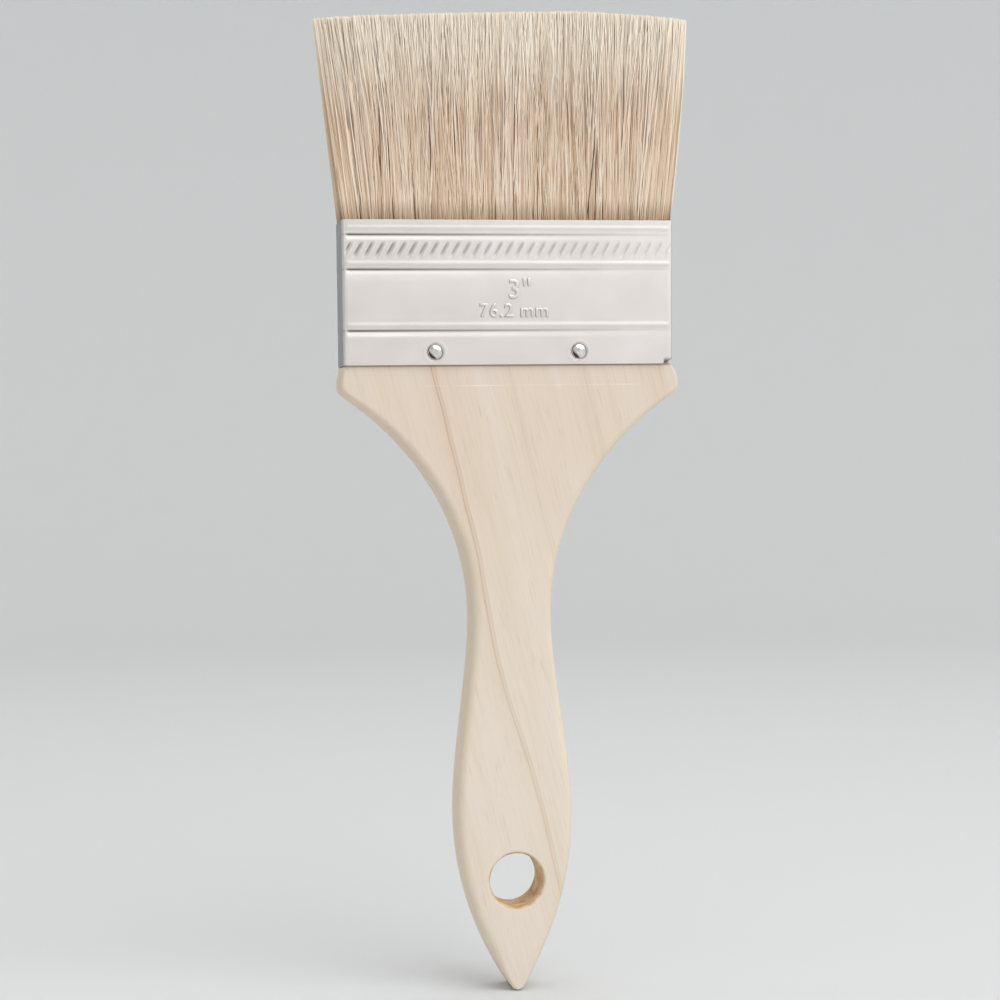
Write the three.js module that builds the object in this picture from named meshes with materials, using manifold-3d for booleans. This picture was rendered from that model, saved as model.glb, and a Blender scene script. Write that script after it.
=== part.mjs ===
// A 76 mm flat chip brush: a wooden beaver-tail handle, a nailed tin-plated ferrule, and natural
// bristles set in epoxy round a spacer plug. Millimetres, +Z from the handle's tip to the bristles,
// +X across the brush, front face towards -Y. The origin is the middle of the hang hole.

import * as THREE from 'three';
import { mergeVertices } from 'three/addons/utils/BufferGeometryUtils.js';
import Module from 'manifold-3d';

// Clearance left between pieces that touch on the real brush.
const fit = 0.3;

// Ferrule: its outside width is the brush's nominal size.
const brushWidth = 76.2;
const ferruleThickness = 13.0;
const ferruleHeight = 33.0;
const ferruleWall = 0.4;
const ferruleCornerRadius = 1.2;
const grooveHeights = [7.8, 21.7, 29.5];
const grooveWidth = 1.4;
const grooveDepth = 0.2;

// Handle: heights are measured up from its tip, and handleLength ends at the ferrule's lower edge.
const handleLength = 143.5;
const tipRadius = 1.7;
const tipAngle = 0.568;
const gripWidth = 26.6;
const gripHeight = 41.0;
const neckWidth = 18.2;
const neckHeight = 85.9;
const shoulderAngle = 0.948;
const shoulderOverhang = { left: 0.6, right: 1.6 };
const shoulderDrop = 4.6;
const shoulderCorner = { width: 3.3, height: 3.7 };
const handleEdgeRadius = 0.5;
const headDepth = 14.0;
const headCornerRadius = 1.5;
const hangHoleDiameter = 12.4;
const hangHoleHeight = 25.2;

// Nails, a pair in the front and a pair in the back. The back ones sit a stagger closer together,
// so that the points pass each other in the wood.
const nailSpacing = 33.4;
const nailOffset = 0.6;
const nailStagger = 4.5;
const nailHeight = 2.9;
const nailHeadDiameter = 3.5;
const nailHeadHeight = 0.6;
const nailShankDiameter = 1.5;
const nailShankLength = 7.0;
const nailPointLength = 1.6;

// Epoxy setting block, with a pocket for the roots, and the spacer plug between them.
const blockHeight = 9.0;
const blockFloor = 2.0;
const blockWall = 0.6;
const spacerThickness = 2.2;
const reservoirDepth = 5.0;

// Bristles: free length above the ferrule, their fan across the width, and their cut end.
const bristleLength = 48.0;
const bristleFan = 5.8;
const bristleSwell = 0.5;
const bristleDome = 1.7;
const bristleCornerRadius = 1.6;
const bristleEndRadius = 1.2;
const reservoirCloses = 8.0;

// Levels and clear spaces that follow from those.
const ferruleBottom = handleLength;
const ferruleTop = ferruleBottom + ferruleHeight;
const insideWidth = brushWidth - 2 * ferruleWall - 2 * fit;
const insideThickness = ferruleThickness - 2 * ferruleWall - 2 * fit;
const headTop = ferruleBottom + headDepth;
const blockBottom = headTop + fit;
const blockTop = blockBottom + blockHeight;
const rootsBottom = blockBottom + blockFloor + fit;
const pocketWidth = insideWidth - 2 * blockWall;
const pocketThickness = insideThickness - 2 * blockWall;
const bristleBottom = ferruleTop + fit;
const bristleTop = ferruleTop + bristleLength;
const flexRadius = insideThickness / 2;
const flexHeight = bristleBottom + flexRadius;
const spacerTop = ferruleTop - reservoirDepth;

const wood = new THREE.MeshStandardMaterial({ color: 0xdfcfb9, roughness: 0.62, metalness: 0 });
const tinplate = new THREE.MeshStandardMaterial({ color: 0xdcd9d5, roughness: 0.32, metalness: 0.9 });
const wire = new THREE.MeshStandardMaterial({ color: 0xc9c6c2, roughness: 0.28, metalness: 0.95 });
const epoxy = new THREE.MeshStandardMaterial({ color: 0xb58a4c, roughness: 0.35, metalness: 0 });
const softwood = new THREE.MeshStandardMaterial({ color: 0xcdb287, roughness: 0.7, metalness: 0 });
const bristle = new THREE.MeshStandardMaterial({ color: 0xd0be9f, roughness: 0.55, metalness: 0 });

const wasm = await Module();
wasm.setup();

// A closed geometry as a solid that can be joined and cut.
function solid(geometry) {
  const bare = geometry.clone();
  bare.deleteAttribute('normal');
  bare.deleteAttribute('uv');
  const merged = mergeVertices(bare, 1e-4);
  const mesh = new wasm.Mesh({
    numProp: 3,
    vertProperties: new Float32Array(merged.attributes.position.array),
    triVerts: new Uint32Array(merged.index.array),
  });
  return new wasm.Manifold(mesh);
}

// A named piece of the brush, made from a solid.
function piece(name, shape, material) {
  const result = shape.getMesh();
  const geometry = new THREE.BufferGeometry();
  geometry.setAttribute('position', new THREE.BufferAttribute(result.vertProperties, 3));
  geometry.setIndex(new THREE.BufferAttribute(result.triVerts, 1));
  geometry.computeVertexNormals();
  const mesh = new THREE.Mesh(geometry, material);
  mesh.name = name;
  return mesh;
}

// An outline drawn straight out, with each of its curves cut into segments.
function drawOut(outline, depth, curveSegments) {
  return new THREE.ExtrudeGeometry(outline, { depth, bevelEnabled: false, curveSegments });
}

// A box centred across the brush, given by its two faces in Y, its lower level and its height.
function block(width, fromY, toY, bottom, height) {
  const geometry = new THREE.BoxGeometry(width, toY - fromY, height);
  geometry.translate(0, (fromY + toY) / 2, bottom + height / 2);
  return solid(geometry);
}

// What fills the inside of the ferrule from one level up, a clearance clear of its walls.
function filling(bottom, height) {
  const corner = ferruleCornerRadius - ferruleWall - fit;
  const outline = roundedRectangle(insideWidth, insideThickness, corner);
  const geometry = drawOut(outline, height, 4);
  geometry.translate(0, 0, bottom);
  return solid(geometry);
}

// A round bar along Y, from one depth to another.
function barAlongY(diameter, x, z, fromY, toY, segments) {
  const geometry = new THREE.CylinderGeometry(diameter / 2, diameter / 2, toY - fromY, segments);
  geometry.translate(x, (fromY + toY) / 2, z);
  return solid(geometry);
}

// A rectangle with round corners, centred on the brush's axis.
function roundedRectangle(width, thickness, radius) {
  const x = width / 2 - radius;
  const y = thickness / 2 - radius;
  const outline = new THREE.Shape();
  outline.absarc(x, y, radius, 0, Math.PI / 2);
  outline.absarc(-x, y, radius, Math.PI / 2, Math.PI);
  outline.absarc(-x, -y, radius, Math.PI, 1.5 * Math.PI);
  outline.absarc(x, -y, radius, 1.5 * Math.PI, 2 * Math.PI);
  outline.closePath();
  return outline;
}

// An outline drawn in X and Z, given a thickness along Y about the brush's middle plane.
function plate(outline, thickness, edgeRadius) {
  const geometry = new THREE.ExtrudeGeometry(outline, {
    depth: thickness - 2 * edgeRadius,
    curveSegments: 12,
    bevelEnabled: edgeRadius > 0,
    bevelThickness: edgeRadius,
    bevelSize: edgeRadius,
    bevelOffset: -edgeRadius,
    bevelSegments: 2,
  });
  geometry.translate(0, 0, edgeRadius - thickness / 2);
  geometry.rotateX(Math.PI / 2);
  return solid(geometry);
}

// One side of the handle's outline, from the tip up to the top of the head, drawn to the right.
// The shoulder stands out past the ferrule by the overhang, and its curves end just under it.
function handleSide(overhang) {
  const grip = gripWidth / 2;
  const neck = neckWidth / 2;
  const shoulder = brushWidth / 2 + overhang;
  const head = insideWidth / 2;
  const bulge = ferruleBottom - shoulderDrop;
  const under = { x: shoulder - shoulderCorner.width, z: bulge - shoulderCorner.height };
  const ledge = { x: brushWidth / 2, z: ferruleBottom - fit };
  const tip = { x: tipRadius * Math.cos(tipAngle), z: tipRadius * (1 - Math.sin(tipAngle)) };

  // How far each curve keeps to its end's direction, as a share of the height that it spans.
  const tipReach = 0.45 * gripHeight;
  const gripBelow = 0.27 * gripHeight;
  const gripAbove = 0.29 * (neckHeight - gripHeight);
  const flareReach = 0.54 * (under.z - neckHeight);
  const underReach = 0.22 * (under.z - neckHeight);
  const bulgeBelow = 0.26 * shoulderDrop;
  const bulgeAbove = 0.39 * shoulderDrop;
  const bulgeLean = 0.6;
  const ledgeDrop = 1.0;

  const curve = (...points) =>
    new THREE.CubicBezierCurve(...points.map(([x, z]) => new THREE.Vector2(x, z)));
  const curves = [
    curve([tip.x, tip.z],
      [tip.x + tipReach * Math.sin(tipAngle), tip.z + tipReach * Math.cos(tipAngle)],
      [grip, gripHeight - gripBelow], [grip, gripHeight]),
    curve([grip, gripHeight], [grip, gripHeight + gripAbove],
      [neck, neckHeight - gripAbove], [neck, neckHeight]),
    curve([neck, neckHeight], [neck, neckHeight + flareReach],
      [under.x - underReach * Math.sin(shoulderAngle), under.z - underReach * Math.cos(shoulderAngle)],
      [under.x, under.z]),
    curve([under.x, under.z], [shoulder - bulgeLean, bulge - 1.4 * bulgeBelow],
      [shoulder, bulge - bulgeBelow], [shoulder, bulge]),
    curve([shoulder, bulge], [shoulder, bulge + bulgeAbove],
      [shoulder - bulgeLean, ledge.z - ledgeDrop], [ledge.x, ledge.z]),
  ];

  const rounding = (x, z, radius, from, to) =>
    new THREE.EllipseCurve(x, z, radius, radius, from, to).getPoints(5);
  const corner = headCornerRadius;
  return [
    ...rounding(0, tipRadius, tipRadius, -Math.PI / 2, -tipAngle).slice(1),
    ...curves.flatMap((part) => part.getPoints(12).slice(1)),
    new THREE.Vector2(head, ledge.z),
    ...rounding(head - corner, headTop - corner, corner, 0, Math.PI / 2),
  ];
}

// The handle's outline, from the tip up the right side, round the head and down the left.
function handleOutline() {
  const left = handleSide(shoulderOverhang.left);
  const mirrored = left.map((point) => new THREE.Vector2(-point.x, point.y)).reverse();
  return new THREE.Shape([new THREE.Vector2(0, 0), ...handleSide(shoulderOverhang.right), ...mirrored]);
}

// Calls back with the side (-1 is the front), the place in X and the name of each nail.
function eachNail(use) {
  for (const [side, sideName] of [[-1, 'front'], [1, 'back']]) {
    const reach = nailSpacing / 2 - (side > 0 ? nailStagger : 0);
    for (const [hand, handName] of [[-1, 'left'], [1, 'right']]) {
      use(side, hand * reach - nailOffset, `nail_${sideName}_${handName}`);
    }
  }
}

// Cuts the nails' holes, a clearance wider than the shanks and a clearance deeper than the points.
function cutNailHoles(shape) {
  let cut = shape;
  const outer = ferruleThickness / 2 + 1;
  const inner = ferruleThickness / 2 - nailShankLength - nailPointLength;
  eachNail((side, x) => {
    const from = side < 0 ? -outer : inner;
    const to = side < 0 ? -inner : outer;
    const bar = barAlongY(nailShankDiameter + 2 * fit, x, ferruleBottom + nailHeight, from, to, 16);
    cut = cut.subtract(bar);
  });
  return cut;
}

function makeHandle() {
  const board = plate(handleOutline(), insideThickness, handleEdgeRadius);
  const reach = insideThickness;
  const hangHole = barAlongY(hangHoleDiameter, 0, hangHoleHeight, -reach, reach, 40);
  return piece('handle', cutNailHoles(board.subtract(hangHole)), wood);
}

// The ferrule's section at a depth inwards from its outside.
function ferruleSection(deep) {
  const radius = ferruleCornerRadius - deep;
  return roundedRectangle(brushWidth - 2 * deep, ferruleThickness - 2 * deep, radius);
}

// One bead rolled into the ferrule, as the ring of metal that it takes away.
function groove(height) {
  const ring = roundedRectangle(brushWidth + 2, ferruleThickness + 2, ferruleCornerRadius);
  ring.holes.push(ferruleSection(grooveDepth));
  const geometry = drawOut(ring, grooveWidth, 4);
  geometry.translate(0, 0, ferruleBottom + height - grooveWidth / 2);
  return solid(geometry);
}

function makeFerrule() {
  const outline = ferruleSection(0);
  outline.holes.push(ferruleSection(ferruleWall));
  const geometry = drawOut(outline, ferruleHeight, 4);
  geometry.translate(0, 0, ferruleBottom);
  let shell = cutNailHoles(solid(geometry));
  for (const height of grooveHeights) {
    shell = shell.subtract(groove(height));
  }
  return piece('ferrule', shell, tinplate);
}

// One nail: a domed head, a round shank and a point, standing along +Y before it is turned.
function makeNail(name, side, x) {
  const shank = nailShankDiameter / 2;
  const head = nailHeadDiameter / 2;
  const dome = new THREE.EllipseCurve(0, 0, head, nailHeadHeight, 0, Math.PI / 2);
  const profile = [
    new THREE.Vector2(0, -nailShankLength - nailPointLength),
    new THREE.Vector2(shank, -nailShankLength),
    new THREE.Vector2(shank, 0),
    ...dome.getPoints(5).slice(0, -1),
    new THREE.Vector2(0, nailHeadHeight),
  ];
  const nail = piece(name, solid(new THREE.LatheGeometry(profile, 20)), wire);
  nail.position.set(x, side * (ferruleThickness / 2 + fit), ferruleBottom + nailHeight);
  nail.rotation.z = side < 0 ? Math.PI : 0;
  return nail;
}

// The epoxy, as a tray cast in the ferrule that holds the roots and the spacer.
function makeSettingBlock() {
  const half = pocketThickness / 2;
  const pocket = block(pocketWidth, -half, half, blockBottom + blockFloor, blockHeight);
  return piece('setting_block', filling(blockBottom, blockHeight).subtract(pocket), epoxy);
}

function makeSpacer() {
  const width = pocketWidth - 2 * fit;
  const half = spacerThickness / 2;
  return piece('spacer_plug', block(width, -half, half, rootsBottom, spacerTop - rootsBottom), softwood);
}

// The roots on one side of the spacer: a narrow foot in the epoxy, then the full space above it.
function makeRoots(name, side) {
  const inner = spacerThickness / 2 + fit;
  const foot = pocketThickness / 2 - fit;
  const stepBottom = blockTop + fit;
  const middle = block(brushWidth, -inner, inner, rootsBottom, ferruleTop);
  const farSide = side * brushWidth;
  const half = block(brushWidth, Math.min(0, farSide), Math.max(0, farSide), 0, 2 * ferruleTop);
  const lower = block(pocketWidth - 2 * fit, -foot, foot, rootsBottom, stepBottom + 1 - rootsBottom);
  const upper = filling(stepBottom, ferruleTop - stepBottom);
  return piece(name, lower.add(upper).subtract(middle).intersect(half), bristle);
}

// The bristles' outline across the width: they fan out from the ferrule to a slightly domed end.
function bristleFront() {
  const root = insideWidth / 2;
  const fan = root + bristleFan;
  const corner = bristleCornerRadius;
  const shoulder = bristleTop - bristleDome;
  const outline = new THREE.Shape();
  outline.moveTo(-root, bristleBottom);
  outline.lineTo(root, bristleBottom);
  outline.bezierCurveTo(root + 0.3 * bristleFan, bristleBottom + 0.1 * bristleLength,
    fan, shoulder - 0.45 * bristleLength, fan, shoulder - corner);
  outline.quadraticCurveTo(fan, shoulder, fan - corner, shoulder);
  outline.quadraticCurveTo(0, bristleTop + bristleDome, corner - fan, shoulder);
  outline.quadraticCurveTo(-fan, shoulder, -fan, shoulder - corner);
  outline.bezierCurveTo(-fan, shoulder - 0.45 * bristleLength,
    -root - 0.3 * bristleFan, bristleBottom + 0.1 * bristleLength, -root, bristleBottom);
  return outline;
}

// The bristles' outline from the side, one half: a round root that turns about the flex axis,
// the reservoir's wedge on the inside, and a slight swell to the rounded end.
function bristleSide() {
  const inner = fit / 2;
  const reservoir = spacerThickness / 2 + fit;
  const outer = flexRadius + bristleSwell;
  const start = Math.acos(reservoir / flexRadius);
  const wedgeTop = flexHeight + reservoirCloses;
  const outline = new THREE.Shape();
  outline.moveTo(reservoir, flexHeight - flexRadius * Math.sin(start));
  outline.absarc(0, flexHeight, flexRadius, -start, 0, false);
  outline.lineTo(outer, bristleTop - bristleEndRadius);
  outline.quadraticCurveTo(outer, bristleTop, outer - bristleEndRadius, bristleTop + 1);
  outline.lineTo(inner, bristleTop + 1);
  outline.lineTo(inner, wedgeTop);
  outline.closePath();
  return outline;
}

// The free bristles on one side. The two outlines are each drawn out straight and meet in the shape.
function makeBristles(name, side) {
  const across = plate(bristleFront(), 4 * ferruleThickness, 0);
  const reach = 2 * brushWidth;
  const geometry = drawOut(bristleSide(), reach, 10);
  geometry.translate(0, 0, -reach / 2);
  geometry.rotateX(Math.PI / 2);
  geometry.rotateZ(side * Math.PI / 2);
  return piece(name, across.intersect(solid(geometry)), bristle);
}

const brush = new THREE.Group();
brush.add(makeHandle());
brush.add(makeFerrule());
eachNail((side, x, name) => brush.add(makeNail(name, side, x)));
brush.add(makeSettingBlock());
brush.add(makeSpacer());
for (const [side, sideName] of [[-1, 'front'], [1, 'back']]) {
  brush.add(makeRoots(`bristle_roots_${sideName}`, side));
  brush.add(makeBristles(`bristles_${sideName}`, side));
}
brush.position.z = -hangHoleHeight;

const group = new THREE.Group();
group.add(brush);

export default group;
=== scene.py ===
# A 76 mm chip brush: pale wooden handle, nailed tin-plated ferrule, natural bristles.
# Metres, +Z from the handle's tip to the bristles, front face towards -Y.
import math

import bmesh
import bpy
import numpy as np
from mathutils import Matrix, Vector
from mathutils.geometry import tessellate_polygon


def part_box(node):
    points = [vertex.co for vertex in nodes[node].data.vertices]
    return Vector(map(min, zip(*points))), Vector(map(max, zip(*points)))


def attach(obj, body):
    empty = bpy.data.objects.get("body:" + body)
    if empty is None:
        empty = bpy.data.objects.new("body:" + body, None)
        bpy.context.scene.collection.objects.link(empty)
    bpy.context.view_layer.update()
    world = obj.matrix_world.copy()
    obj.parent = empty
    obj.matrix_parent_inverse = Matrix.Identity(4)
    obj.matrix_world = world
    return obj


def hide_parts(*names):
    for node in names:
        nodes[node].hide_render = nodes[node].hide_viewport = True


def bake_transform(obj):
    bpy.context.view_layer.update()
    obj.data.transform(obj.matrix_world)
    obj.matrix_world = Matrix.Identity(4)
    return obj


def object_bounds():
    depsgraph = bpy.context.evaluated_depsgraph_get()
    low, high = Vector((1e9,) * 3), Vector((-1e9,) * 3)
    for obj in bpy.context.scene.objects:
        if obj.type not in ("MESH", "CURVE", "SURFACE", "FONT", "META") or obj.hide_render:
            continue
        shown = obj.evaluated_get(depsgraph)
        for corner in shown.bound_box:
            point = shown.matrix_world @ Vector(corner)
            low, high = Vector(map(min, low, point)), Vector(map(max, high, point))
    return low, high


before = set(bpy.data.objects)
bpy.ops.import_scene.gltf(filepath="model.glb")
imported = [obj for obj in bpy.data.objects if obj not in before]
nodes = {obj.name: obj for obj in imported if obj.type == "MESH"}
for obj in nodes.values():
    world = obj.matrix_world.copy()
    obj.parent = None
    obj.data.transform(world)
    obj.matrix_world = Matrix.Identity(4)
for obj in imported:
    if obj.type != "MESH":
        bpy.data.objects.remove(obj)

cad_low, cad_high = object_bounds()
mm = 0.001

# ---------------------------------------------------------------------------------------------
# Camera: a long lens 0.56 m away, almost level with the middle of the brush and a little to its
# left, so that the ferrule's narrow left wall just shows.
turn = math.radians(-10.214)
rise = math.radians(0.762)
roll = math.radians(-0.831)
distance = 558.0 * mm
aim = Vector((-1.66 * mm, 0, 87.3 * mm))

back = Vector((math.sin(turn) * math.cos(rise), -math.cos(turn) * math.cos(rise), math.sin(rise)))
level = back.cross(Vector((0, 0, 1))).normalized() * -1
upright = back.cross(level)
right = level * math.cos(roll) + upright * math.sin(roll)
up = upright * math.cos(roll) - level * math.sin(roll)
lens = bpy.data.cameras.new("camera")
lens.sensor_width = 36.0
lens.lens = 86.9
camera = bpy.data.objects.new("camera", lens)
axes = Matrix((right, up, back)).transposed().to_4x4()
camera.matrix_world = Matrix.Translation(aim + back * distance) @ axes
bpy.context.collection.objects.link(camera)
bpy.context.scene.camera = camera
bpy.context.scene.view_settings.view_transform = "Standard"


# ---------------------------------------------------------------------------------------------
# Studio: a seamless pale bowl for floor and walls, a large soft light in front and to the right,
# a weaker one overhead, and an even pale sky.
def linear(hex_colour):
    """An sRGB hex colour as the linear values that a shader takes."""
    parts = [int(hex_colour[i:i + 2], 16) / 255 for i in (1, 3, 5)]
    return tuple(p / 12.92 if p <= 0.04045 else ((p + 0.055) / 1.055) ** 2.4 for p in parts) + (1.0,)


def add(tree, kind, inputs=None, **settings):
    """One node with its settings. An input is a fixed value, or the output or node that feeds it."""
    node = tree.nodes.new(kind)
    for name, value in settings.items():
        setattr(node, name, value)
    for socket, value in (inputs or {}).items():
        if isinstance(value, bpy.types.Node):
            value = value.outputs[0]
        if isinstance(value, bpy.types.NodeSocket):
            tree.links.new(value, node.inputs[socket])
        else:
            node.inputs[socket].default_value = value
    return node


def new_material(name):
    """An empty material and its tree, with the shader and the output joined."""
    material = bpy.data.materials.new(name)
    material.use_nodes = True
    tree = material.node_tree
    tree.nodes.clear()
    shader = add(tree, "ShaderNodeBsdfPrincipled")
    add(tree, "ShaderNodeOutputMaterial", {"Surface": shader.outputs[0]})
    return material, tree, shader


def new_piece(name, points, faces, material):
    """A smooth-shaded mesh object at the origin."""
    mesh = bpy.data.meshes.new(name)
    mesh.from_pydata([tuple(p) for p in points], [], faces)
    mesh.validate()
    mesh.materials.append(material)
    mesh.polygons.foreach_set("use_smooth", [True] * len(mesh.polygons))
    piece = bpy.data.objects.new(name, mesh)
    bpy.context.collection.objects.link(piece)
    return piece


floor_radius = 1.1
bowl_radius = 0.7
bowl_wall = 1.2
floor_level = cad_low.z - 0.2 * mm
profile = [(0.0, 0.0), (floor_radius, 0.0)]
profile += [(floor_radius + bowl_radius * math.sin(a), bowl_radius * (1 - math.cos(a)))
            for a in np.linspace(0, math.pi / 2, 13)[1:]]
profile += [(floor_radius + bowl_radius, bowl_radius + bowl_wall)]
around = 96
bowl_angles = [2 * math.pi * i / around for i in range(around)]
bowl_points = [(r * math.cos(a), r * math.sin(a), floor_level + h)
               for r, h in profile[1:] for a in bowl_angles]
bowl_faces = [tuple(range(around))]
for ring in range(len(profile) - 2):
    for i in range(around):
        j = (i + 1) % around
        low, high = ring * around, (ring + 1) * around
        bowl_faces.append((low + i, high + i, high + j, low + j))
paper, tree, shader = new_material("matt_backdrop_paper")
shader.inputs["Base Color"].default_value = linear("#d6d8d9")
shader.inputs["Roughness"].default_value = 0.9
bowl = new_piece("studio_bowl", bowl_points, bowl_faces, paper)

lamp_size = 1.6
lit_middle = Vector((0, 0, 0.09))
for name, place, power in (("key_light", (0.62, -1.0, 1.1), 12.4), ("top_light", (0.1, 0.0, 1.7), 6.0)):
    lamp = bpy.data.lights.new(name, "AREA")
    lamp.shape = "DISK"
    lamp.size = lamp_size
    lamp.energy = power
    light = bpy.data.objects.new(name, lamp)
    light.location = place
    light.rotation_mode = "QUATERNION"
    light.rotation_quaternion = (Vector(place) - lit_middle).to_track_quat("Z", "Y")
    light.visible_camera = False
    bpy.context.collection.objects.link(light)
sky = bpy.data.worlds.new("even_sky")
sky.use_nodes = True
sky_shader = sky.node_tree.nodes["Background"]
sky_shader.inputs["Color"].default_value = linear("#f3f1ee")
sky_shader.inputs["Strength"].default_value = 0.93
bpy.context.scene.world = sky

# ---------------------------------------------------------------------------------------------
# Handle: one flat piece of pale poplar, band-sawn to a beaver-tail outline, its edges rounded by
# a sanding drum, with a bored hang hole scorched by the drill. Its head is nailed in the ferrule.
handle_low, handle_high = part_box("handle")
ferrule_low, ferrule_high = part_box("ferrule")
tip = handle_low.z
collar = ferrule_low.z
half_board = handle_high.y
half_head = ferrule_high.x - 0.7 * mm
tip_radius = 1.7 * mm
tip_angle = 0.568
tip_reach = 18.5 * mm
grip = (13.3 * mm, tip + 41.0 * mm)
neck = (9.1 * mm, tip + 85.9 * mm)
under_angle = 0.948
shoulder_drop = 4.6 * mm
head_corner = 1.5 * mm
hole_radius = 6.2 * mm
hole_easing = 0.6 * mm
face_margin = 0.25 * mm
steps = 6


def bezier(a, b, c, d, count):
    """Points of a cubic curve after its first one."""
    t = np.linspace(0, 1, count + 1)[1:, None]
    a, b, c, d = (np.array(p) for p in (a, b, c, d))
    return (1 - t) ** 3 * a + 3 * (1 - t) ** 2 * t * b + 3 * (1 - t) * t ** 2 * c + t ** 3 * d


def board_side(shoulder):
    """The outline from beside the tip to the middle of the head, drawn to the right."""
    bulge = collar - shoulder_drop
    under = (shoulder - 3.3 * mm, bulge - 3.7 * mm)
    flare = under[1] - neck[1]
    under_reach = 0.22 * flare
    tip_end = (tip_radius * math.cos(tip_angle), tip + tip_radius * (1 - math.sin(tip_angle)))
    tip_aim = (tip_end[0] + tip_reach * math.sin(tip_angle), tip_end[1] + tip_reach * math.cos(tip_angle))
    under_aim = (under[0] - under_reach * math.sin(under_angle),
                 under[1] - under_reach * math.cos(under_angle))
    ledge = (half_head + 0.7 * mm, collar - 0.3 * mm)
    return np.vstack([
        [(tip_radius * math.sin(a), tip + tip_radius * (1 - math.cos(a)))
         for a in np.linspace(0.12, math.pi / 2 - tip_angle, 10)],
        bezier(tip_end, tip_aim, (grip[0], grip[1] - 11.1 * mm), grip, 44),
        bezier(grip, (grip[0], grip[1] + 13.0 * mm), (neck[0], neck[1] - 13.0 * mm), neck, 36),
        bezier(neck, (neck[0], neck[1] + 0.54 * flare), under_aim, under, 44),
        bezier(under, (shoulder - 0.6 * mm, bulge - 1.7 * mm),
               (shoulder, bulge - 1.2 * mm), (shoulder, bulge), 12),
        bezier((shoulder, bulge), (shoulder, bulge + 1.8 * mm),
               (shoulder - 0.6 * mm, collar - 1.3 * mm), ledge, 12),
        bezier(ledge, (half_head + 0.4 * mm, collar), (half_head, collar), (half_head, collar + 0.6 * mm), 4),
        [(half_head, z) for z in np.linspace(collar + 3 * mm, handle_high.z - head_corner, 4)],
        [(half_head - head_corner * (1 - math.cos(a)), handle_high.z - head_corner * (1 - math.sin(a)))
         for a in np.linspace(0, math.pi / 2, 6)[1:]],
        [(x, handle_high.z) for x in np.linspace(half_head - head_corner, 0, 12)[1:-1]],
    ])


outline = np.vstack([[(0, tip)], board_side(handle_high.x), [(0, handle_high.z)],
                     board_side(-handle_low.x)[::-1] * (-1, 1)])
before, after = np.roll(outline, 1, axis=0), np.roll(outline, -1, axis=0)
tangent = after - before
tangent /= np.linalg.norm(tangent, axis=1)[:, None]
outward = np.column_stack([tangent[:, 1], -tangent[:, 0]])
# The edge rounding grows from the tip's own radius to the drum's, and shrinks inside the ferrule.
above_tip = outline[:, 1] - tip
rounding = np.interp(above_tip / mm, [0, 9, 100, 127, 137, 144], [0.6, 1.9, 1.9, 1.6, 0.9, 0.5]) * mm
rounding = rounding[:, None]


def edge_rings(face_side):
    """The rings of a rounded edge from the side wall to just inside the flat face."""
    rings = []
    for k in range(steps + 1):
        a = math.pi / 2 * k / steps
        flat = outline - outward * rounding * (1 - math.cos(a))
        depth = half_board - rounding[:, 0] * (1 - math.sin(a))
        rings.append(np.column_stack([flat[:, 0], face_side * depth, flat[:, 1]]))
    flat = outline - outward * (rounding + face_margin)
    rings.append(np.column_stack([flat[:, 0], np.full(len(flat), face_side * half_board), flat[:, 1]]))
    return rings


def hole_rings(face_side, segments=72):
    """The rings of the hole's eased rim, from the flat face to the bore."""
    angles = np.linspace(0, 2 * math.pi, segments, endpoint=False)
    circle = np.column_stack([np.cos(angles), np.sin(angles)])
    sizes = [(hole_radius + hole_easing + 0.3 * mm, half_board)]
    for k in range(4):
        a = math.pi / 2 * k / 3
        sizes.append((hole_radius + hole_easing * (1 - math.sin(a)),
                      half_board - hole_easing * (1 - math.cos(a))))
    return [np.column_stack([circle[:, 0] * r, np.full(segments, face_side * y), circle[:, 1] * r])
            for r, y in sizes]


points, faces = [], []


def keep(ring):
    """Adds a ring's points to the piece in hand, and says which they are."""
    start = len(points)
    points.extend(ring)
    return list(range(start, len(points)))


def bridge(a, b):
    """Joins two rings of points by a band of faces."""
    for i in range(len(a)):
        j = (i + 1) % len(a)
        faces.append((a[i], a[j], b[j], b[i]))


front = [keep(ring) for ring in edge_rings(-1)]
rear = [keep(ring) for ring in edge_rings(1)]
front_hole = [keep(ring) for ring in hole_rings(-1)]
rear_hole = [keep(ring) for ring in hole_rings(1)]
for rings in (front, rear, front_hole, rear_hole):
    for a, b in zip(rings, rings[1:]):
        bridge(a, b)
bridge(front[0], rear[0])
bridge(front_hole[-1], rear_hole[-1])
for outer_ring, inner_ring in ((front[-1], front_hole[0]), (rear[-1], rear_hole[0])):
    ids = outer_ring + inner_ring
    loops = [[Vector((points[i][0], points[i][2], 0)) for i in loop] for loop in (outer_ring, inner_ring)]
    faces.extend(tuple(ids[k] for k in triangle) for triangle in tessellate_polygon(loops))
# How far round the sanded edge each point is: 1 on the side wall, 0 on the flat faces and the hole.
round_edge = np.zeros(len(points))
for ring_set in (front, rear):
    for k in range(steps + 1):
        round_edge[ring_set[k]] = 1 - (k / steps) ** 2

wood, tree, shader = new_material("sanded_poplar")
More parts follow.
